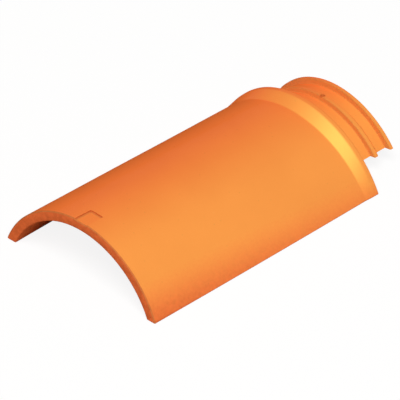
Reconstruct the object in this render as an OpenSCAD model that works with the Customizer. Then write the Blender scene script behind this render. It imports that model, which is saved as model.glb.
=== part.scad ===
// Half-round clay ridge tile with a flared collar and a ribbed spigot neck.
// One fired piece. Millimetres, +Z up, lying on its two feet.
// X runs across the tile, Y from the open front end to the neck.

/* [Barrel] */
// Width over the two feet
foot_width = 240; // [210:1:270]
// Height of the crown at the open front end
front_crown = 82.5; // [76:0.5:95]
// Height of the crown at the waist, just before the collar
waist_crown = 67.5; // [60:0.5:74]
// Thickness of the fired wall at the crown
wall = 12.5; // [10:0.5:15]
// Width of each foot on the floor
foot_land = 13.5; // [11:0.5:18]
// Roof length that one tile covers, front edge to the collar's end face
cover_length = 362; // [320:1:400]

/* [Collar] */
// Length of the flare that rises from the waist to the collar
flare_length = 14; // [10:0.5:25]
// Height of the crown at the collar
collar_crown = 76; // [72:0.5:82]
// Length of the straight land behind the flare
collar_land = 6; // [3:0.5:10]
// How far the collar stands out past the barrel at each foot
collar_foot_step = 0.5; // [0.3:0.1:2]
// Thickness of the shoulder web that joins the barrel to the neck
shoulder_thickness = 13; // [9:0.5:20]

/* [Neck] */
// Length of the neck behind the collar's end face
neck_length = 55.5; // [48:0.5:75]
// Radial play between the neck's end lip and the next tile's front end
lap_clearance = 4.5; // [2:0.5:6]
// Thickness of the neck's wall between the ribs
neck_wall = 10; // [7:0.5:12]
// Height above the floor of the neck's two lower edges
neck_edge_height = 21.5; // [12:0.5:32]

/* [Ribs] */
// Height of the rib above the neck
rib_height = 5; // [3:0.5:6]
// Distance from the collar's end face to the middle of the rib's top
rib_offset = 29.5; // [24:0.5:34]
// Width of the rib's flat top
rib_top = 5; // [3:0.5:7]
// Run of the rib's steep front flank along the neck
rib_front_flank = 1.5; // [1:0.5:4]
// Run of the rib's longer rear flank along the neck
rib_rear_flank = 4; // [3:0.5:7]
// Height of the end lip above the neck
lip_height = 6; // [4:0.5:8]
// Width of the end lip's flat top
lip_top = 4.5; // [2:0.5:6]
// Run of the end lip's steep flank along the neck
lip_flank = 1.5; // [1:0.5:4]
// Size of the eased corners on the rib and the end lip
rib_ease = 0.75; // [0.5:0.25:1]

/* [Nail hole] */
// Diameter of the nail hole through the crown of the rib
nail_hole_diameter = 6; // [4:0.5:8]

/* [Clip recess] */
// Width of the shallow recess that seats the ridge clip
recess_width = 20; // [14:1:32]
// Length of the recess back from the front edge
recess_length = 26.5; // [15:0.5:40]
// Depth of the recess under the crown
recess_depth = 1.5; // [1:0.25:3]

/* [Edges] */
// Size of the eased edges of the open front end
front_ease = 1.25; // [0.75:0.25:3]
// Size of the eased edges along the feet
foot_ease = 1; // [0.75:0.25:2.5]
// Size of the eased outer edge of the collar
collar_ease = 1.25; // [0.75:0.25:2]
// Size of the fillet where the neck leaves the collar's end face
root_ease = 2; // [1:0.25:4]

/* [Hidden] */
$fn = 128;
half = foot_width / 2;
overall_length = cover_length + neck_length;
front_y = -overall_length / 2;
collar_y = front_y + cover_length;
end_y = front_y + overall_length;
waist_y = collar_y - collar_land - flare_length;
shoulder_y = collar_y - shoulder_thickness;
clear = 2;
far = 2 * foot_width;

// A circular arch through both feet: radius, and height of its centre, from half width and crown.
function arch_radius(w, crown) = (w * w + crown * crown) / (2 * crown);
function arch_centre(w, crown) = crown - arch_radius(w, crown);
function along(a, b, y, ya, yb) = a + (b - a) * (y - ya) / (yb - ya);

front_radius = arch_radius(half, front_crown);
front_centre = arch_centre(half, front_crown);
waist_radius = arch_radius(half, waist_crown);
waist_centre = arch_centre(half, waist_crown);
collar_half = half + collar_foot_step;
collar_radius = arch_radius(collar_half, collar_crown);
collar_centre = arch_centre(collar_half, collar_crown);

inner_half = half - foot_land;
bore_radius = arch_radius(inner_half, front_crown - wall);
bore_centre = arch_centre(inner_half, front_crown - wall);
throat_radius = arch_radius(inner_half, waist_crown - wall);
throat_centre = arch_centre(inner_half, waist_crown - wall);
lip_radius = bore_radius - lap_clearance;
neck_radius = lip_radius - lip_height;
rib_radius = neck_radius + rib_height;
neck_bore = neck_radius - neck_wall;
rib_y = collar_y + rib_offset;

// A frustum along Y whose circles may shift in height from one end to the other.
module frustum(ya, ra, za, yb, rb, zb) {
    multmatrix([
        [1, 0, 0, 0],
        [0, 0, 1, ya],
        [0, -1, (zb - za) / (yb - ya), za],
        [0, 0, 0, 1]
    ]) cylinder(h = yb - ya, r1 = ra, r2 = rb);
}

// A taper that runs from one arch at the front edge to another at the waist, cut at any two stations.
module barrel(ya, yb, front_r, front_z, waist_r, waist_z) {
    frustum(
        ya,
        along(front_r, waist_r, ya, front_y, waist_y),
        along(front_z, waist_z, ya, front_y, waist_y),
        yb,
        along(front_r, waist_r, yb, front_y, waist_y),
        along(front_z, waist_z, yb, front_y, waist_y)
    );
}

module barrel_outside(ya, yb) {
    barrel(ya, yb, front_radius, front_centre, waist_radius, waist_centre);
}

module barrel_inside(ya, yb) {
    barrel(ya, yb, bore_radius, bore_centre, throat_radius, throat_centre);
}

// The flare's own taper, carried past both of its ends.
module flare(ya, yb) {
    flare_end = waist_y + flare_length;
    frustum(
        ya,
        along(waist_radius, collar_radius, ya, waist_y, flare_end),
        along(waist_centre, collar_centre, ya, waist_y, flare_end),
        yb,
        along(waist_radius, collar_radius, yb, waist_y, flare_end),
        along(waist_centre, collar_centre, yb, waist_y, flare_end)
    );
}

// A solid of revolution about a Y axis at height z; the profile is radius against distance along Y.
module turned(y, z) {
    translate([0, y, z]) rotate([-90, 0, 0]) rotate_extrude() children();
}

// Keeps what stands above a given height.
module above(z) {
    intersection() {
        children();
        translate([-far, 2 * front_y, z]) cube([2 * far, 4 * overall_length, far]);
    }
}

module collar() {
    intersection() {
        flare(waist_y - flare_length / 2, collar_y);
        turned(waist_y - flare_length, collar_centre)
            polygon([
                [0, 0],
                [collar_radius, 0],
                [collar_radius, collar_y - waist_y + flare_length - collar_ease],
                [collar_radius - collar_ease, collar_y - waist_y + flare_length],
                [0, collar_y - waist_y + flare_length]
            ]);
    }
}

// The hollow under the barrel, stopped by the shoulder web above the neck's lower edges.
module hollow() {
    difference() {
        barrel_inside(front_y - clear, collar_y + clear);
        translate([-far, shoulder_y, neck_edge_height]) cube([2 * far, far, far]);
    }
}

// The neck shares its axis with the front end's inside, so the next tile slips over it.
module neck() {
    start = shoulder_y + shoulder_thickness / 2;
    root = collar_y - start;
    rib_from = rib_y - rib_top / 2 - start;
    rib_to = rib_y + rib_top / 2 - start;
    last = end_y - start;
    lip_from = last - lip_top;
    front_run = rib_ease * rib_front_flank / rib_height;
    rear_run = rib_ease * rib_rear_flank / rib_height;
    lip_run = rib_ease * lip_flank / lip_height;
    above(neck_edge_height)
        turned(start, bore_centre)
            polygon([
                [0, 0],
                [neck_radius + root_ease, 0],
                [neck_radius + root_ease, root],
                [neck_radius, root + root_ease],
                [neck_radius, rib_from - rib_front_flank],
                [rib_radius - rib_ease, rib_from - front_run],
                [rib_radius, rib_from + rib_ease],
                [rib_radius, rib_to - rib_ease],
                [rib_radius - rib_ease, rib_to + rear_run],
                [neck_radius, rib_to + rib_rear_flank],
                [neck_radius, lip_from - lip_flank],
                [lip_radius - rib_ease, lip_from - lip_run],
                [lip_radius, lip_from + rib_ease],
                [lip_radius, last - rib_ease],
                [lip_radius - rib_ease, last],
                [0, last]
            ]);
}

// Tapered cutters that ease the outer and inner edges of the open front end.
module front_edges() {
    turned(front_y, front_centre)
        polygon([
            [front_radius - front_ease, 0],
            [front_radius - front_ease, -clear],
            [front_radius + 3 * clear, -clear],
            [front_radius + 3 * clear, 2 * front_ease],
            [front_radius + 0.25 * front_ease, 1.4 * front_ease],
            [front_radius - 0.3 * front_ease, 0.3 * front_ease]
        ]);
    turned(front_y, bore_centre)
        polygon([
            [0, -clear],
            [bore_radius + front_ease, -clear],
            [bore_radius + front_ease, 0],
            [bore_radius + 0.3 * front_ease, 0.3 * front_ease],
            [bore_radius - 0.25 * front_ease, 1.4 * front_ease],
            [0, 1.4 * front_ease]
        ]);
}

// Slanted cutters along the outer and inner edge of each foot.
module foot_edges() {
    for (side = [-1, 1]) {
        translate([side * half, front_y - clear, 0])
            rotate([-90, 0, 0])
                linear_extrude(cover_length + 2 * clear)
                    polygon([
                        [-side * foot_ease, clear],
                        [-side * foot_ease, 0],
                        [side * foot_ease, -2 * foot_ease],
                        [side * far / 8, -2 * foot_ease],
                        [side * far / 8, clear]
                    ]);
        translate([side * inner_half, front_y - clear, 0])
            rotate([-90, 0, 0])
                linear_extrude(cover_length + 2 * clear)
                    polygon([
                        [side * foot_ease, clear],
                        [side * foot_ease, 0],
                        [-side * foot_ease, -1.5 * foot_ease],
                        [-side * far / 24, -1.5 * foot_ease],
                        [-side * far / 24, clear]
                    ]);
    }
}

// The clip's seat is flat across and follows the fall of the crown.
module clip_recess() {
    fall = atan((front_crown - waist_crown) / (waist_y - front_y));
    translate([0, front_y, front_crown - recess_depth])
        rotate([-fall, 0, 0])
            translate([-recess_width / 2, -clear, 0])
                cube([recess_width, recess_length + clear, far / 8]);
}

module nail_hole() {
    translate([0, rib_y, 0]) cylinder(h = far, d = nail_hole_diameter);
}

module ridge_tile() {
    color([0.88, 0.44, 0.2])
    difference() {
        union() {
            difference() {
                union() {
                    above(0) barrel_outside(front_y, collar_y - collar_land / 2);
                    above(0) collar();
                }
                hollow();
            }
            neck();
        }
        turned(shoulder_y - clear, bore_centre) square([neck_bore, overall_length]);
        front_edges();
        foot_edges();
        clip_recess();
        nail_hole();
    }
}

ridge_tile();
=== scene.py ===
import math

import bmesh
import bpy
from mathutils import Matrix, Vector, noise


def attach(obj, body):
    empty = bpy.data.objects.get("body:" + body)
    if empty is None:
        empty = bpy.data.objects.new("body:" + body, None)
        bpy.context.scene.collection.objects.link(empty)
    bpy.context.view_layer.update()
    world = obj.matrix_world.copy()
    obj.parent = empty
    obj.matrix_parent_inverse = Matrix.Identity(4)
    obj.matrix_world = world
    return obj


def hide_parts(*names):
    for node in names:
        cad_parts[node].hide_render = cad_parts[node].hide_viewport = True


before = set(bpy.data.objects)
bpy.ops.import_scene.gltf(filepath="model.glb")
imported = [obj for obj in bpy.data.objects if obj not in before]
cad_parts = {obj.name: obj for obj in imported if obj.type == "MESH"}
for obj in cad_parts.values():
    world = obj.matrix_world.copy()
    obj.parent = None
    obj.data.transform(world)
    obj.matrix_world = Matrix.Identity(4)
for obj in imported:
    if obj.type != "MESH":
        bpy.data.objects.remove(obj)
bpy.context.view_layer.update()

# Sizes of the tile in millimetres, the same values as in the CAD source
FOOT_WIDTH = 240.0
FRONT_CROWN = 82.5
WAIST_CROWN = 67.5
WALL = 12.5
FOOT_LAND = 13.5
COVER_LENGTH = 362.0
FLARE_LENGTH = 14.0
COLLAR_CROWN = 76.0
COLLAR_LAND = 6.0
COLLAR_FOOT_STEP = 0.5
SHOULDER_THICKNESS = 13.0
NECK_LENGTH = 55.5
LAP_CLEARANCE = 4.5
NECK_WALL = 10.0
NECK_EDGE_HEIGHT = 21.5
RIB_HEIGHT = 5.0
RIB_OFFSET = 29.5
RIB_TOP = 5.0
RIB_FRONT_FLANK = 1.5
RIB_REAR_FLANK = 4.0
LIP_HEIGHT = 6.0
LIP_TOP = 4.5
LIP_FLANK = 1.5
NAIL_HOLE_DIAMETER = 6.0
RECESS_WIDTH = 20.0
RECESS_LENGTH = 26.5
RECESS_DEPTH = 1.5
ROOT_EASE = 2.0

# Softness of the clay's edges and creases in millimetres
FRONT_ROUND = 1.25
FOOT_ROUND = 1.2
COLLAR_ROUND = 0.6
CREASE_ROUND = 1.2
RIB_ROUND = 0.3
ROOT_ROUND = 2.4
BORE_ROUND = 1.0
RECESS_DRAFT = 0.35

# Share of an end edge's rounding by which the soles rise there
SOLE_LIFT = 0.6

# Largest share of a profile's side that one rounded corner takes
CORNER_SHARE = 0.45

# Reach in millimetres of the front edge's wear and painted shade, and of the recess's painted shade over
# its floor and past its edge
EDGE_WEAR_AND_SHADE = 0.8
RECESS_SHADE_ON_FLOOR = 3.5
RECESS_SHADE_PAST_EDGE = 0.4

# Rows of the mesh keep this far from the middle of a crease, in millimetres
BEFORE_WAIST = 0.6 * CREASE_ROUND
BEFORE_LAND = 1.2 * CREASE_ROUND
PAST_CREASE = 2 * CREASE_ROUND

# Fineness of the mesh: pitches in millimetres, then counts
ROW_PITCH = 4.0
FLARE_PITCH = 2.0
LAND_PITCH = 1.5
CREASE_PITCH = 0.5
NECK_PITCH = 1.5
WEB_STEP = 1.5
ROUND_STEPS = 4
SIDE_COLUMNS = 58
RECESS_COLUMNS = 4
LOW_COLUMNS = 12
NAIL_SIDES = 40

# Stations closer than this in millimetres count as one
NEAR = 0.01

# Metres in one millimetre
MM = 0.001

# Main stations along the tile and the arches there
HALF = FOOT_WIDTH / 2
INNER_HALF = HALF - FOOT_LAND
RECESS_HALF = RECESS_WIDTH / 2
FRONT_Y = -(COVER_LENGTH + NECK_LENGTH) / 2
EDGE_Y = FRONT_Y + FRONT_ROUND
RECESS_END_Y = FRONT_Y + RECESS_LENGTH
RECESS_FOOT_Y = RECESS_END_Y - RECESS_DRAFT
COLLAR_Y = FRONT_Y + COVER_LENGTH
END_Y = COLLAR_Y + NECK_LENGTH
FLARE_END_Y = COLLAR_Y - COLLAR_LAND
WAIST_Y = FLARE_END_Y - FLARE_LENGTH
SHOULDER_Y = COLLAR_Y - SHOULDER_THICKNESS
RIB_Y = COLLAR_Y + RIB_OFFSET


def arch(half, crown):
    """Radius and centre height of the circle through both feet and the crown."""
    radius = (half * half + crown * crown) / (2 * crown)
    return radius, crown - radius


FRONT_ARCH = arch(HALF, FRONT_CROWN)
WAIST_ARCH = arch(HALF, WAIST_CROWN)
COLLAR_ARCH = arch(HALF + COLLAR_FOOT_STEP, COLLAR_CROWN)
BORE_ARCH = arch(INNER_HALF, FRONT_CROWN - WALL)
THROAT_ARCH = arch(INNER_HALF, WAIST_CROWN - WALL)
NECK_CENTRE = BORE_ARCH[1]
LIP_RADIUS = BORE_ARCH[0] - LAP_CLEARANCE
NECK_RADIUS = LIP_RADIUS - LIP_HEIGHT
RIB_RADIUS = NECK_RADIUS + RIB_HEIGHT
NECK_BORE = NECK_RADIUS - NECK_WALL


def mix(a, b, t):
    """The values a share t of the way from a to b."""
    return tuple(x + (y - x) * t for x, y in zip(a, b))


def soft_step(y, start, end, ease):
    """A straight ramp from 0 to 1 between start and end whose two corners are rounded over ease."""
    def hinge(v):
        if v <= -ease:
            return 0.0
        if v >= ease:
            return v
        return (v + ease) ** 2 / (4 * ease)
    return (hinge(y - start) - hinge(y - end)) / (end - start)


def outer_arch(y):
    """The outside of the barrel, flare and collar at one station."""
    barrel = mix(FRONT_ARCH, WAIST_ARCH, (min(y, WAIST_Y) - FRONT_Y) / (WAIST_Y - FRONT_Y))
    return mix(barrel, COLLAR_ARCH, soft_step(y, WAIST_Y, FLARE_END_Y, CREASE_ROUND))


def inner_arch(y):
    """The inside of the barrel at one station."""
    return mix(BORE_ARCH, THROAT_ARCH, (y - FRONT_Y) / (WAIST_Y - FRONT_Y))


def rise_angle(section, height):
    """Angle above the level at which an arch reaches a given height."""
    radius, centre = section
    return math.asin((height - centre) / radius)


def on_arch(section, angle):
    """The point of an arch at an angle above the level."""
    radius, centre = section
    return radius * math.cos(angle), centre + radius * math.sin(angle)


def spaced(a, b, count):
    """Even steps from a to b, both ends included."""
    return [a + (b - a) * i / count for i in range(count + 1)]


def outer_columns():
    """Shares of the arch's half angle, left foot to right, with lines along the recess's side walls."""
    reach = math.pi / 2 - rise_angle(FRONT_ARCH, FOOT_ROUND)

    def share(x):
        return math.asin(x / FRONT_ARCH[0]) / reach

    wall_foot = RECESS_HALF - RECESS_DRAFT
    side = spaced(0, share(wall_foot - RECESS_SHADE_ON_FLOOR), RECESS_COLUMNS)
    side += [share(wall_foot), share(RECESS_HALF)]
    side += spaced(share(RECESS_HALF + RECESS_SHADE_PAST_EDGE), 1, SIDE_COLUMNS)
    return [-s for s in reversed(side[1:])] + side


COLUMNS = outer_columns()
LAST_COLUMN = len(COLUMNS) - 1
NECK_COLUMNS = LAST_COLUMN - 2 * LOW_COLUMNS - 2


def recess_floor(y):
    """Height of the recess's floor, which follows the fall of the crown."""
    fall = (FRONT_CROWN - WAIST_CROWN) / (WAIST_Y - FRONT_Y)
    return FRONT_CROWN - RECESS_DEPTH - fall * (y - FRONT_Y)


def outer_points(y, inset):
    """The outer arch at one station, left to right, lowered to the clip recess where that cuts it."""
    radius, centre = outer_arch(y)
    section = (radius - inset, centre)
    reach = math.pi / 2 - rise_angle(section, FOOT_ROUND)
    in_recess = y < RECESS_END_Y - RECESS_DRAFT / 2
    points = []
    for share in COLUMNS:
        x, z = on_arch(section, math.pi / 2 - share * reach)
        if in_recess and abs(x) < RECESS_HALF - RECESS_DRAFT / 2:
            z = min(z, recess_floor(y) - inset)
        points.append((x, z))
    return points


def inner_points(y, inset):
    """The inner arch at one station, left to right, with columns level with the neck's lower edges."""
    radius, centre = inner_arch(y)
    section = (radius + inset, centre)
    foot = rise_angle(section, FOOT_ROUND)
    edge = rise_angle(section, NECK_EDGE_HEIGHT)
    angles = spaced(math.pi - foot, math.pi - edge, LOW_COLUMNS)
    angles += spaced(math.pi - edge, edge, LAST_COLUMN - 2 * LOW_COLUMNS)[1:]
    angles += spaced(edge, foot, LOW_COLUMNS)[1:]
    return [on_arch(section, angle) for angle in angles]


def foot_points(outer, inner, side, raised):
    """The rounded sole of one foot, from its outer wall to its inner wall."""
    shares = [i / ROUND_STEPS for i in range(1, ROUND_STEPS + 1)]
    height = [FOOT_ROUND * (1 - t) ** 2 + raised * (1 - (1 - t) ** 2) for t in shares]
    from_outer = [(outer[0] - side * FOOT_ROUND * t * t, z) for t, z in zip(shares, height)]
    from_inner = [(inner[0] + side * FOOT_ROUND * t * t, z) for t, z in zip(shares, height)]
    return from_outer + from_inner[::-1]


def rounded_rows(y, size, towards):
    """Stations and insets that round an end edge; the last one is on the end face."""
    rows = []
    for i in range(1, ROUND_STEPS + 1):
        a = math.pi / 2 * i / ROUND_STEPS
        rows.append((y + towards * size * (math.sin(a) - 1), size * (1 - math.cos(a))))
    return rows


def body_rows():
    """Stations along the barrel and collar with the inset of the outer and inner wall at each."""
    rows = [(y, inset, inset) for y, inset in reversed(rounded_rows(FRONT_Y, FRONT_ROUND, -1))]
    stops = [
        (EDGE_Y, EDGE_Y + EDGE_WEAR_AND_SHADE, EDGE_WEAR_AND_SHADE),
        (EDGE_Y + ROW_PITCH, RECESS_FOOT_Y - RECESS_SHADE_ON_FLOOR, ROW_PITCH),
        (RECESS_FOOT_Y, RECESS_END_Y, RECESS_DRAFT),
        (RECESS_END_Y + RECESS_SHADE_PAST_EDGE, WAIST_Y - CREASE_ROUND, ROW_PITCH),
        (WAIST_Y - BEFORE_WAIST, WAIST_Y + CREASE_ROUND, CREASE_PITCH),
        (WAIST_Y + PAST_CREASE, SHOULDER_Y, FLARE_PITCH),
        (SHOULDER_Y + WEB_STEP, FLARE_END_Y - BEFORE_LAND, FLARE_PITCH),
        (FLARE_END_Y - CREASE_ROUND, FLARE_END_Y + CREASE_ROUND, CREASE_PITCH),
        (FLARE_END_Y + PAST_CREASE, COLLAR_Y - COLLAR_ROUND, LAND_PITCH),
    ]
    for start, end, pitch in stops:
        count = max(1, round((end - start) / pitch))
        rows += [(y, 0.0, 0.0) for y in spaced(start, end, count)]
    rows += [(y, inset, 0.0) for y, inset in rounded_rows(COLLAR_Y, COLLAR_ROUND, 1)]
    return rows


def fillet(points, sizes, steps):
    """A polyline with its inner corners rounded, each by its own radius."""
    out = [points[0]]
    for before, corner, after, size in zip(points, points[1:], points[2:], sizes):
        a = Vector(before) - Vector(corner)
        b = Vector(after) - Vector(corner)
        turn = math.pi - a.angle(b)
        reach = min(size * math.tan(turn / 2), CORNER_SHARE * a.length, CORNER_SHARE * b.length)
        start = Vector(corner) + a.normalized() * reach
        end = Vector(corner) + b.normalized() * reach
        for i in range(steps + 1):
            t = i / steps
            p = start * (1 - t) ** 2 + Vector(corner) * 2 * t * (1 - t) + end * t * t
            out.append((p.x, p.y))
    out.append(points[-1])
    return out


def neck_profile():
    """Station and radius round the neck's wall: collar face, ribs, end, bore, back to the shoulder.

    The first and last corners only give a direction, and are left out of the result.
    """
    rib_from = RIB_Y - RIB_TOP / 2
    rib_to = RIB_Y + RIB_TOP / 2
    lip_from = END_Y - LIP_TOP
    above_root = 4 * ROOT_EASE
    corners = [
        ((COLLAR_Y, NECK_RADIUS + above_root), 0),
        ((COLLAR_Y, NECK_RADIUS + ROOT_EASE), ROOT_ROUND),
        ((COLLAR_Y + ROOT_EASE, NECK_RADIUS), ROOT_ROUND),
        ((rib_from - RIB_FRONT_FLANK, NECK_RADIUS), RIB_ROUND),
        ((rib_from, RIB_RADIUS), RIB_ROUND),
        ((rib_to, RIB_RADIUS), RIB_ROUND),
        ((rib_to + RIB_REAR_FLANK, NECK_RADIUS), RIB_ROUND),
        ((lip_from - LIP_FLANK, NECK_RADIUS), RIB_ROUND),
        ((lip_from, LIP_RADIUS), RIB_ROUND),
        ((END_Y, LIP_RADIUS), RIB_ROUND),
        ((END_Y, NECK_BORE), BORE_ROUND),
        ((SHOULDER_Y, NECK_BORE), BORE_ROUND),
        ((SHOULDER_Y, NECK_BORE + BORE_ROUND), 0),
    ]
    points = [p for p, size in corners]
    sizes = [size for p, size in corners[1:-1]]
    return fillet(points, sizes, ROUND_STEPS)[1:-1]


def refine(profile, pitch):
    """Adds stations on the long straight runs of a profile."""
    out = [profile[0]]
    for a, b in zip(profile, profile[1:]):
        count = max(1, round(math.dist(a, b) / pitch))
        out += [mix(a, b, i / count) for i in range(1, count + 1)]
    return out


# How bare the clay is, from 0 to 1: the slip ends on the soles, and it thins low on the flanks with less
# gloss, where its darker, redder colour is painted shade
THIN_SLIP_SHADE = 0.8
THIN_SHADE_FROM = math.radians(50)
THIN_SHADE_FROM_FLARE = math.radians(36)
THIN_SHADE_FULL = math.radians(20)
SLIP_END = [0.65, 0.75, 0.85]
SOLE_BARE = SLIP_END + [1.0] * (2 * ROUND_STEPS - len(SLIP_END))

# Painted shade, from 0 to 1: up to a half it is a dull brown, and above that it turns to a dark iron brown
FLANK_SHADE = 0.5
EDGE_SHADE = 0.55
HOLE_SHADE = 0.3

# How far past a flank or a wall a vertex still counts as on it, in millimetres
FLANK_SLACK = 0.9 * RIB_ROUND
WALL_SLACK = 0.05

# The neck's painted shade, by the way round from the left edge: it is weaker on the left and over the
# crown
LEFT_SHADE_CUT = 0.35
SHADE_CUT_TO = 0.40
FULL_SHADE_FROM = 0.65
SHADE_CUT_EASE = 0.02

# The tile's mesh, one closed skin of lofted rings
bm = bmesh.new()
raw_shade_layer = bm.loops.layers.float.new("raw_clay_and_shade")
painted_shade_layer = bm.loops.layers.float.new("painted_shade")


def add_vert(x, y, z):
    """A vertex of the skin, given in millimetres."""
    return bm.verts.new((x * MM, y * MM, z * MM))


def add_face(verts, raw_and_shade, painted_shade=0.0):
    """A face whose corners carry the bare-clay mask, which also paints shade, and the painted shade mask,
    from one value or one per corner.
    """
    face = bm.faces.new(verts)
    for layer, given in ((raw_shade_layer, raw_and_shade), (painted_shade_layer, painted_shade)):
        values = given if isinstance(given, (list, tuple)) else [given] * len(verts)
        for loop, value in zip(face.loops, values):
            loop[layer] = value
    face.smooth = True


def outer_bareness_and_shade(x, y, z):
    """The slip is worn off the rounded front edge; low on the flanks, less so on the flare, it thins with
    less gloss, and its darker colour there is painted shade.
    """
    if y <= EDGE_Y + NEAR:
        return 1.0
    # Painted shade: darker and redder low on the flanks
    slope = math.atan2(z - outer_arch(y)[1], abs(x))
    on_flare = soft_step(y, WAIST_Y, FLARE_END_Y, CREASE_ROUND)
    thin_from = THIN_SHADE_FROM + (THIN_SHADE_FROM_FLARE - THIN_SHADE_FROM) * on_flare
    t = min(1.0, max(0.0, (thin_from - slope) / (thin_from - THIN_SHADE_FULL)))
    return THIN_SLIP_SHADE * t * t * (3 - 2 * t)


def outer_painted_shade(x, y):
    """Painted shade darkens the rounded front edge, and a darker painted shade lies on the recess's left
    and rear walls.
    """
    if y <= EDGE_Y + NEAR:
        # Painted shade on the rounded front edge
        return EDGE_SHADE
    if y > RECESS_END_Y + WALL_SLACK or abs(x) > RECESS_HALF + WALL_SLACK:
        return 0.0
    # Painted shade on the recess's left and rear walls
    on_left = x < RECESS_DRAFT + WALL_SLACK - RECESS_HALF
    on_rear = y > RECESS_FOOT_Y - WALL_SLACK
    return 1.0 if on_left or on_rear else 0.0


def neck_painted_shade(y, radius):
    """Painted shade on the steep front flanks of the rib and the end lip."""
    for top, run in ((RIB_Y - RIB_TOP / 2, RIB_FRONT_FLANK), (END_Y - LIP_TOP, LIP_FLANK)):
        on_flank = top - run - FLANK_SLACK < y < top + FLANK_SLACK
        if on_flank and radius > NECK_RADIUS - FLANK_SLACK:
            return FLANK_SHADE
    return 0.0


def shade_kept(share):
    """Share of the neck's painted shade that stays, by the way round from the left edge."""
    return 1.0 - LEFT_SHADE_CUT * (1.0 - soft_step(share, SHADE_CUT_TO, FULL_SHADE_FROM, SHADE_CUT_EASE))


rows = []
for y, outer_inset, inner_inset in body_rows():
    outer = outer_points(y, outer_inset)
    inner = inner_points(y, inner_inset)
    raised = SOLE_LIFT * (outer_inset + inner_inset) / 2
    left = foot_points(outer[0], inner[0], -1, raised)
    right = foot_points(outer[-1], inner[-1], 1, raised)
    behind_web = y > SHOULDER_Y + NEAR
    hidden = range(LOW_COLUMNS + 1, LAST_COLUMN - LOW_COLUMNS) if behind_web else ()
    rows.append({
        "y": y,
        "bare_and_shade": [outer_bareness_and_shade(x, y, z) for x, z in outer],
        "painted_shade": [outer_painted_shade(x, y) for x, z in outer],
        "outer": [add_vert(x, y, z) for x, z in outer],
        "left": [add_vert(x, y, z) for x, z in left],
        "right": [add_vert(x, y, z) for x, z in right],
        "inner": [None if j in hidden else add_vert(x, y, z) for j, (x, z) in enumerate(inner)],
    })


def ring(row):
    """The row's vertices in order: outer left to right, right sole, inner right to left, left sole."""
    return row["outer"] + row["right"] + row["inner"][::-1] + row["left"][::-1]


def ring_values(row):
    """How bare each vertex of the ring is, which also paints shade, and how much painted shade it carries.
    """
    bare_and_shade = row["bare_and_shade"] + SOLE_BARE + [1.0] * len(row["inner"]) + SOLE_BARE[::-1]
    painted_shade = row["painted_shade"] + [0.0] * (len(bare_and_shade) - len(row["painted_shade"]))
    return bare_and_shade, painted_shade


for a, b in zip(rows, rows[1:]):
    ring_a, ring_b = ring(a), ring(b)
    bare_shade_a, shade_a = ring_values(a)
    bare_shade_b, shade_b = ring_values(b)
    count = len(ring_a)
    for i in range(count):
        j = (i + 1) % count
        corners = (ring_a[i], ring_a[j], ring_b[j], ring_b[i])
        if None not in corners:
            add_face(
                corners,
                (bare_shade_a[i], bare_shade_a[j], bare_shade_b[j], bare_shade_b[i]),
                (shade_a[i], shade_a[j], shade_b[j], shade_b[i]),
            )


def add_end_face(row, inside, raw_and_shade):
    """A flat end from the outer arch to an inside line of as many vertices, and the two feet's ends."""
    for j in range(LAST_COLUMN):
        add_face((row["outer"][j], inside[j], inside[j + 1], row["outer"][j + 1]), raw_and_shade)
    add_face([row["outer"][0]] + row["left"] + [inside[0]], raw_and_shade)
    add_face([row["outer"][-1]] + row["right"] + [inside[-1]], raw_and_shade)


add_end_face(rows[0], rows[0]["inner"], 1.0)

# Neck with its rib, lip and bore; its end face and its inside are bare
profile = refine(neck_profile(), NECK_PITCH)
neck = []
for y, radius in profile:
    low = math.asin((NECK_EDGE_HEIGHT - NECK_CENTRE) / radius)
    line = [on_arch((radius, NECK_CENTRE), a) for a in spaced(math.pi - low, low, NECK_COLUMNS)]
    neck.append([add_vert(x, y, z) for x, z in line])
end_row = next(i for i, (y, radius) in enumerate(profile) if y > END_Y - NEAR)
# Painted shade on the neck's front flanks, weaker on the left and over the crown
shade_paint = [neck_painted_shade(y, radius) for y, radius in profile]
shade_share = [shade_kept(j / NECK_COLUMNS) for j in range(NECK_COLUMNS + 1)]
for k, (a, b) in enumerate(zip(neck, neck[1:])):
    raw_and_shade = 0.0 if k < end_row else 1.0
    for j in range(NECK_COLUMNS):
        add_face(
            (a[j], a[j + 1], b[j + 1], b[j]),
            raw_and_shade,
            (shade_paint[k] * shade_share[j], shade_paint[k] * shade_share[j + 1], shade_paint[k + 1] * shade_share[j + 1], shade_paint[k + 1] * shade_share[j]),
        )

# Collar end face, from its outer edge to the root of the neck
collar = rows[-1]
root_line = collar["inner"][:LOW_COLUMNS + 1] + neck[0] + collar["inner"][-LOW_COLUMNS - 1:]
add_end_face(collar, root_line, 1.0)

# Shoulder web, seen from inside the barrel
shoulder = next(row for row in rows if abs(row["y"] - SHOULDER_Y) < NEAR)
web_line = shoulder["inner"][LOW_COLUMNS:-LOW_COLUMNS]
bore_line = neck[-1]
add_face((web_line[0], web_line[1], bore_line[0]), 1.0)
add_face((web_line[-2], web_line[-1], bore_line[-1]), 1.0)
for j in range(NECK_COLUMNS):
    add_face((web_line[j + 1], web_line[j + 2], bore_line[j + 1], bore_line[j]), 1.0)


def add_lower_face(outside, bore, raw_and_shade):
    """Triangles between two lines of vertices along the tile, taken in order of station."""
    i = j = 0
    while i + 1 < len(outside) or j + 1 < len(bore):
        bore_done = j + 1 == len(bore)
        if bore_done or (i + 1 < len(outside) and outside[i + 1].co.y <= bore[j + 1].co.y):
            add_face((outside[i], outside[i + 1], bore[j]), raw_and_shade)
            i += 1
        else:
            add_face((outside[i], bore[j + 1], bore[j]), raw_and_shade)
            j += 1


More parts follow.
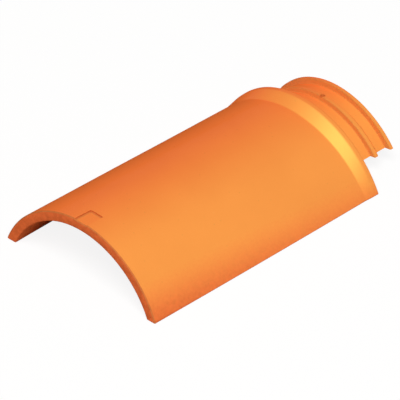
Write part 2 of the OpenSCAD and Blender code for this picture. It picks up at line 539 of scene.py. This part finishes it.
# Level lower faces of the neck and the web, from the outside to the bore
web_rows = [row for row in rows if row["y"] >= SHOULDER_Y - NEAR]
bore_start = next(i for i, (y, radius) in enumerate(profile) if radius < NECK_BORE + NEAR)
for wall, side in ((LOW_COLUMNS, 0), (-LOW_COLUMNS - 1, -1)):
    outside = [row["inner"][wall] for row in web_rows] + [line[side] for line in neck[:bore_start]]
    bore = [line[side] for line in neck[bore_start:]]
    add_lower_face(outside, bore[::-1], 1.0)

bmesh.ops.recalc_face_normals(bm, faces=bm.faces)
skin = bpy.data.meshes.new("clay_tile")
bm.to_mesh(skin)
bm.free()
tile = bpy.data.objects.new("clay_tile", skin)
bpy.context.scene.collection.objects.link(tile)

# Nail hole through the crown of the rib, by a drill turned off the mesh's own lines
DRILL_DEPTH = 60.0
DRILL_TURN = math.radians(3.1)
drill_mesh = bpy.data.meshes.new("nail_drill")
drill_bm = bmesh.new()
bmesh.ops.create_cone(
    drill_bm,
    cap_ends=True,
    segments=NAIL_SIDES,
    radius1=NAIL_HOLE_DIAMETER / 2 * MM,
    radius2=NAIL_HOLE_DIAMETER / 2 * MM,
    depth=DRILL_DEPTH * MM,
)
# The nail hole's wall carries painted shade
for layer_name, value in (("raw_clay_and_shade", 0.0), ("painted_shade", HOLE_SHADE)):
    layer = drill_bm.loops.layers.float.new(layer_name)
    for face in drill_bm.faces:
        for loop in face.loops:
            loop[layer] = value
drill_bm.to_mesh(drill_mesh)
drill_bm.free()
drill = bpy.data.objects.new("nail_drill", drill_mesh)
drill.location = (0, RIB_Y * MM, (NECK_CENTRE + NECK_RADIUS) * MM)
drill.rotation_euler = (0, 0, DRILL_TURN)
bpy.context.scene.collection.objects.link(drill)
cut = tile.modifiers.new("nail_hole", "BOOLEAN")
cut.operation = "DIFFERENCE"
cut.solver = "EXACT"
cut.object = drill

# The cut becomes part of the mesh, and the drill goes
bpy.context.view_layer.update()
depsgraph = bpy.context.evaluated_depsgraph_get()
finished = bpy.data.meshes.new_from_object(tile.evaluated_get(depsgraph))
tile.modifiers.clear()
tile.data = finished
bpy.data.objects.remove(drill)
finished.name = "clay_tile"

# Slight unevenness of hand-finished clay, in two smooth fields that leave the soles level
# Each field: changes per metre across and along the tile, an offset, and its size in millimetres
UNEVEN = ((22, 9, 0, 0.10), (70, 34, 5, 0.035))
AXIS_OFFSET = 7.3
SETTLED_MM = 4.0
SHARP_FROM = math.radians(32)


def drift(p, across, along, start):
    """A smooth vector that changes across the tile and more slowly along it."""
    q = Vector((p.x * across + start, p.y * along, p.z * across))
    return Vector([noise.noise(q + Vector((0, 0, AXIS_OFFSET * axis))) for axis in range(3)])


for vertex in finished.vertices:
    p = vertex.co
    shift = Vector((0, 0, 0))
    for across, along, start, size in UNEVEN:
        shift += drift(p, across, along, start) * size
    settled = min(1.0, p.z / (SETTLED_MM * MM))
    vertex.co = p + shift * settled * MM
finished.set_sharp_from_angle(angle=SHARP_FROM)

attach(tile, "root")
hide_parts("ridge_tile")


# Materials
def new_material(name):
    """A material without nodes, and its node tree."""
    material = bpy.data.materials.new(name)
    material.use_nodes = True
    material.node_tree.nodes.clear()
    return material, material.node_tree


class Graph:
    """Short calls to add and link shader nodes."""

    def __init__(self, tree):
        self.tree = tree

    def put(self, socket, value):
        """Links a socket to an output, or sets it to a constant."""
        if isinstance(value, bpy.types.NodeSocket):
            self.tree.links.new(value, socket)
        else:
            socket.default_value = value

    def add(self, kind, inputs=None, **settings):
        """A node with its settings and inputs."""
        node = self.tree.nodes.new(kind)
        for key, value in settings.items():
            setattr(node, key, value)
        for key, value in (inputs or {}).items():
            self.put(node.inputs[key], value)
        return node

    def noise(self, vector, scale, detail=3.0, roughness=0.55):
        """A noise field, its scale in waves per metre."""
        inputs = {"Vector": vector, "Scale": scale, "Detail": detail, "Roughness": roughness}
        return self.add("ShaderNodeTexNoise", inputs).outputs["Fac"]

    def span(self, value, low, high, to_low, to_high, curve="LINEAR"):
        """A value carried from one range to another and held at both ends."""
        node = self.add(
            "ShaderNodeMapRange",
            {"Value": value, "From Min": low, "From Max": high, "To Min": to_low, "To Max": to_high},
            interpolation_type=curve,
        )
        return node.outputs["Result"]

    def blend(self, factor, a, b):
        """A colour between a and b."""
        node = self.add("ShaderNodeMix", data_type="RGBA", blend_type="MIX")
        for key, value in (("Factor", factor), ("A", a), ("B", b)):
            kind = "VALUE" if key == "Factor" else "RGBA"
            self.put(next(s for s in node.inputs if s.name == key and s.type == kind), value)
        return next(s for s in node.outputs if s.type == "RGBA")

    def math(self, operation, a, b):
        """One operation on two values."""
        node = self.add("ShaderNodeMath", {0: a, 1: b}, operation=operation)
        return node.outputs[0]

    def layers(self, first, second, factor):
        """A shader mixed from two others."""
        return self.add("ShaderNodeMixShader", {"Fac": factor, 1: first, 2: second}).outputs["Shader"]


# Colours of the slip, the bare clay, its specks, and the painted shade
SLIP_LIGHT = (0.97, 0.214, 0.047, 1.0)
SLIP_DEEP = (0.95, 0.204, 0.044, 1.0)
# Bare clay colours, set darker and redder as painted shade for the faces that lie in shade
RAW_SHADED_LIGHT = (0.875, 0.172, 0.046, 1.0)
RAW_SHADED_DEEP = (0.715, 0.136, 0.036, 1.0)
# This dark colour is both the iron specks and the darkest painted shade
IRON_SPECK_AND_SHADE = (0.48, 0.100, 0.026, 1.0)
GROG_SPECK = (0.97, 0.36, 0.11, 1.0)
# The dull brown of the painted shade
SHADE_BROWN = (0.28, 0.19, 0.057, 1.0)
SHEEN_TINT = (1.0, 0.95, 0.20, 1.0)

# Scales of the clay's patterns, in waves per metre; streaks are drawn out along the tile
CLOUD_SCALE = 14.0
STREAK_SCALE = 260.0
STREAK_DRAW = (1.0, 0.06, 1.0)
GRAIN_SCALE = 1400.0
MOTTLE_SCALE = 150.0
PATCH_SCALE = 320.0
SPECK_SCALE = 190.0
PIT_SCALE = 420.0

# Parts of a noise field's range, as pairs of low and high
NOISE_MIDDLE = (0.35, 0.65)
NOISE_WIDE = (0.3, 0.7)
NOISE_UPPER = (0.4, 0.7)
NOISE_TOP = (0.66, 0.74)

# Strength of each pattern in the colour
STREAK_COVER = 0.12
PATCH_DEPTH = 0.05
BARE_SPAN = (0.10, 0.90)
DEEP_SHADE_FROM = 0.5
SHADE_COVER = 0.75
SPECK_EDGE = (0.10, 0.20)
SPECK_SHARE = 0.07
SPECK_COVER = 0.25
GRAIN_COVER = 0.10

# Roughness of the slip, and what grain and bare clay add to it
SLIP_ROUGH = (0.61, 0.65)
GRAIN_ROUGH = (-0.03, 0.04)
BARE_ROUGH = 0.20

# Bump: weight of each pattern, then strength and distance in metres
GRAIN_BUMP = 0.35
STREAK_BUMP = 0.5
PIT_BUMP = 0.6
BARE_BUMP = 0.8
BUMP_STRENGTH = 0.35
BUMP_DISTANCE = 0.0002

# Gloss of the slip, which fades at a slant, on bare clay and under the painted shade
SLIP_GLOSS = 4.2
GLOSS_FADE = (0.20, 0.68)
GLOSS_LEFT = 0.05
SLIP_IOR = 1.5

# The gloss follows the key light: it is dull where the surface turns away from the key's direction, a
# painted shade in the reflections
GLOSS_KEY_SIDE = (0.387, -0.389, 0.836)
KEY_SIDE_DULL_AT = 0.40
KEY_SIDE_FULL_AT = 0.75
AWAY_FROM_KEY_GLOSS = 0.12


def clay_material():
    """Fired clay: an orange slip over the outside, and a redder, darker bare body on cut faces and inside,
    whose tone is partly painted shade.
    """
    material, tree = new_material("fired_clay")
    g = Graph(tree)
    coords = g.add("ShaderNodeTexCoord")
    place = coords.outputs["Object"]
    drawn = g.add("ShaderNodeMapping", {"Vector": place, "Scale": STREAK_DRAW}).outputs["Vector"]

    # Slip and bare body
    cloud = g.noise(place, CLOUD_SCALE, detail=4.0)
    streak = g.noise(drawn, STREAK_SCALE)
    grain = g.noise(place, GRAIN_SCALE, detail=4.0, roughness=0.6)
    slip = g.blend(g.span(cloud, *NOISE_MIDDLE, 0.0, 1.0), SLIP_DEEP, SLIP_LIGHT)
    slip = g.blend(g.span(streak, *NOISE_UPPER, 0.0, STREAK_COVER), slip, SLIP_DEEP)
    # The bare mask carries the bare body and, low on the flanks and on the shaded faces, painted shade
    bare_and_shade = g.add("ShaderNodeAttribute", attribute_name="raw_clay_and_shade").outputs["Fac"]
    patchy = g.span(g.noise(place, PATCH_SCALE), *NOISE_WIDE, -PATCH_DEPTH, PATCH_DEPTH)
    bare_and_shade = g.span(g.math("ADD", bare_and_shade, patchy), *BARE_SPAN, 0.0, 1.0)
    mottle = g.span(g.noise(place, MOTTLE_SCALE, detail=4.0), *NOISE_MIDDLE, -0.5, 0.5)
    body = g.blend(g.math("ADD", g.math("MULTIPLY", bare_and_shade, mottle), 0.5), RAW_SHADED_DEEP, RAW_SHADED_LIGHT)
    colour = g.blend(bare_and_shade, slip, body)

    # Painted shade: a dull brown that turns to a dark iron brown where it is strongest
    painted_shade = g.add("ShaderNodeAttribute", attribute_name="painted_shade").outputs["Fac"]
    shade_paint = g.blend(g.span(painted_shade, DEEP_SHADE_FROM, 1.0, 0.0, 1.0), SHADE_BROWN, IRON_SPECK_AND_SHADE)
    colour = g.blend(g.math("MULTIPLY", painted_shade, SHADE_COVER), colour, shade_paint)

    # Dark and pale specks, and fine grain
    dots = g.add("ShaderNodeTexVoronoi", {"Vector": place, "Scale": SPECK_SCALE, "Randomness": 1.0})
    chosen = g.add("ShaderNodeSeparateColor", {"Color": dots.outputs["Color"]}).outputs["Red"]
    near = g.span(dots.outputs["Distance"], *SPECK_EDGE, 1.0, 0.0)
    dark = g.math("MULTIPLY", near, g.math("GREATER_THAN", chosen, 1.0 - SPECK_SHARE))
    pale = g.math("MULTIPLY", near, g.math("LESS_THAN", chosen, SPECK_SHARE))
    colour = g.blend(g.math("MULTIPLY", dark, SPECK_COVER), colour, IRON_SPECK_AND_SHADE)
    colour = g.blend(g.math("MULTIPLY", pale, SPECK_COVER), colour, GROG_SPECK)
    colour = g.blend(g.span(grain, *NOISE_WIDE, 0.0, GRAIN_COVER), colour, IRON_SPECK_AND_SHADE)

    # Roughness and bump
    rough_grain = g.span(grain, *NOISE_WIDE, *GRAIN_ROUGH)
    rough = g.math("ADD", rough_grain, g.span(cloud, *NOISE_WIDE, *SLIP_ROUGH))
    rough = g.math("ADD", rough, g.math("MULTIPLY", bare_and_shade, BARE_ROUGH))
    pits = g.span(g.noise(place, PIT_SCALE, detail=2.0), *NOISE_TOP, 0.0, -1.0)
    height = g.math("ADD", g.math("MULTIPLY", grain, GRAIN_BUMP), g.math("MULTIPLY", streak, STREAK_BUMP))
    height = g.math("ADD", height, g.math("MULTIPLY", pits, PIT_BUMP))
    bare_grain = g.math("MULTIPLY", grain, bare_and_shade)
    height = g.math("ADD", height, g.math("MULTIPLY", bare_grain, BARE_BUMP))
    bump = g.add(
        "ShaderNodeBump",
        {"Height": height, "Strength": BUMP_STRENGTH, "Distance": BUMP_DISTANCE},
    )

    # Gloss
    facing = g.add("ShaderNodeLayerWeight", {"Blend": 0.5}).outputs["Facing"]
    gloss = g.span(facing, *GLOSS_FADE, SLIP_GLOSS, 0.0, "SMOOTHSTEP")
    # Painted shade in the gloss: dull where the surface turns away from the key light
    towards_key = g.add(
        "ShaderNodeVectorMath",
        {0: coords.outputs["Normal"], 1: GLOSS_KEY_SIDE},
        operation="DOT_PRODUCT",
    )
    key_side_gloss = g.span(towards_key.outputs["Value"], KEY_SIDE_DULL_AT, KEY_SIDE_FULL_AT, AWAY_FROM_KEY_GLOSS, 1.0)
    gloss = g.math("MULTIPLY", gloss, key_side_gloss)
    gloss = g.math("MULTIPLY", gloss, g.span(bare_and_shade, 0.0, 1.0, 1.0, GLOSS_LEFT))
    gloss = g.math("MULTIPLY", gloss, g.span(painted_shade, 0.0, 1.0, 1.0, GLOSS_LEFT))

    shader = g.add(
        "ShaderNodeBsdfPrincipled",
        {
            "Base Color": colour,
            "Roughness": rough,
            "Normal": bump.outputs["Normal"],
            "IOR": SLIP_IOR,
            "Specular IOR Level": gloss,
            "Specular Tint": SHEEN_TINT,
        },
    )
    g.add("ShaderNodeOutputMaterial", {"Surface": shader.outputs["BSDF"]})
    return material


finished.materials.clear()
finished.materials.append(clay_material())

# Pale floor: white to the camera apart from the shadow it keeps, and duller to bounced light
WHITE = (1.0, 1.0, 1.0, 1.0)
FLOOR_GLOW = 0.88
FLOOR_PALE = 0.95
FLOOR_DULL = 0.45
FLOOR_HALF_M = 6.0
FLOOR_DROP_M = 0.0002


def seen_rays(graph):
    """One for rays from the camera and for mirrored or refracted rays, which see the same background."""
    path = graph.add("ShaderNodeLightPath")
    total = graph.math("ADD", path.outputs["Is Camera Ray"], path.outputs["Is Glossy Ray"])
    return graph.math("MINIMUM", graph.math("ADD", total, path.outputs["Is Transmission Ray"]), 1.0)


floor_material, floor_tree = new_material("pale_floor")
g = Graph(floor_tree)
seen = seen_rays(g)
tone = g.span(seen, 0.0, 1.0, FLOOR_DULL, FLOOR_PALE)
paint = g.add("ShaderNodeBsdfDiffuse", {"Color": tone}).outputs["BSDF"]
glow = g.add("ShaderNodeEmission", {"Color": WHITE, "Strength": 1.0}).outputs["Emission"]
g.add("ShaderNodeOutputMaterial", {"Surface": g.layers(paint, glow, g.math("MULTIPLY", seen, FLOOR_GLOW))})

floor_bm = bmesh.new()
bmesh.ops.create_grid(floor_bm, x_segments=1, y_segments=1, size=FLOOR_HALF_M)
floor_mesh = bpy.data.meshes.new("floor")
floor_bm.to_mesh(floor_mesh)
floor_bm.free()
floor_mesh.materials.append(floor_material)
floor = bpy.data.objects.new("floor", floor_mesh)
floor.location = (0, 0, -FLOOR_DROP_M)
bpy.context.scene.collection.objects.link(floor)

# World: a white backdrop round the horizon where it is seen, and a soft even fill for everything else
FILL = 0.11
FILL_TINT = (1.0, 0.96, 0.93, 1.0)
BACKDROP_TOP = 0.15
BACKDROP_FADE = 0.02
world = bpy.data.worlds.new("studio")
bpy.context.scene.world = world
world.use_nodes = True
world.node_tree.nodes.clear()
g = Graph(world.node_tree)
direction = g.add("ShaderNodeTexCoord").outputs["Generated"]
rise = g.add("ShaderNodeSeparateXYZ", {"Vector": direction}).outputs["Z"]
backdrop = g.span(rise, BACKDROP_FADE, BACKDROP_TOP, 1.0, 0.0)
fill = g.add("ShaderNodeBackground", {"Color": FILL_TINT, "Strength": FILL}).outputs["Background"]
white = g.add("ShaderNodeBackground", {"Color": WHITE, "Strength": 1.0}).outputs["Background"]
sky = g.layers(fill, white, g.math("MULTIPLY", seen_rays(g), backdrop))
g.add("ShaderNodeOutputWorld", {"Surface": sky})

# Key light: one large softbox that faces the tile, its long side turned towards KEY_LONG_SIDE
# Its sides are given per metre of distance, its power in watts per square metre of distance
KEY_FROM = (0.387, -0.389, 0.836)
KEY_LONG_SIDE = (-0.87, 0.0, 0.5)
KEY_AIM = (0, 0, 0.04)
KEY_DISTANCE = 14.0
KEY_LENGTH = 0.77
KEY_WIDTH = 0.42
KEY_POWER = 12.1
KEY_TINT = (1.0, 0.98, 0.95)
key_data = bpy.data.lights.new("key", "AREA")
key_data.shape = "RECTANGLE"
key_data.size = KEY_LENGTH * KEY_DISTANCE
key_data.size_y = KEY_WIDTH * KEY_DISTANCE
key_data.energy = KEY_POWER * KEY_DISTANCE ** 2
key_data.color = KEY_TINT
key = bpy.data.objects.new("key", key_data)
key_back = Vector(KEY_FROM).normalized()
key_across = key_back.cross(Vector(KEY_LONG_SIDE)).normalized()
key_along = key_across.cross(key_back)
key_turn = Matrix((key_along, key_across, key_back)).transposed()
key.matrix_world = Matrix.Translation(Vector(KEY_AIM) + key_back * KEY_DISTANCE) @ key_turn.to_4x4()
bpy.context.scene.collection.objects.link(key)

# Camera: a long lens stands in for the photograph's parallel isometric view
FRAME_PIXELS = 400
PIXEL_MM = 1.14575
FRAME_WIDTH = FRAME_PIXELS * PIXEL_MM * MM
LENS = 1500.0
SENSOR = 36.0
CLIP_START = 1.0
CLIP_END = 60.0
AZIMUTH = math.radians(45.0)
ELEVATION = math.atan(math.sqrt(0.5))
SHIFT_RIGHT = -10.3 * PIXEL_MM * MM
SHIFT_UP = 6.2 * PIXEL_MM * MM
back = Vector((
    math.sin(AZIMUTH) * math.cos(ELEVATION),
    -math.cos(AZIMUTH) * math.cos(ELEVATION),
    math.sin(ELEVATION),
))
right = Vector((math.cos(AZIMUTH), math.sin(AZIMUTH), 0.0))
up = back.cross(right)
camera_data = bpy.data.cameras.new("camera")
camera_data.lens = LENS
camera_data.sensor_width = SENSOR
camera_data.clip_start = CLIP_START
camera_data.clip_end = CLIP_END
camera = bpy.data.objects.new("camera", camera_data)
target = right * SHIFT_RIGHT + up * SHIFT_UP
camera.location = target + back * (FRAME_WIDTH * LENS / SENSOR)
camera.rotation_mode = "QUATERNION"
camera.rotation_quaternion = (-back).to_track_quat("-Z", "Y")
bpy.context.scene.collection.objects.link(camera)
bpy.context.scene.camera = camera

bpy.context.scene.view_settings.view_transform = "Standard"
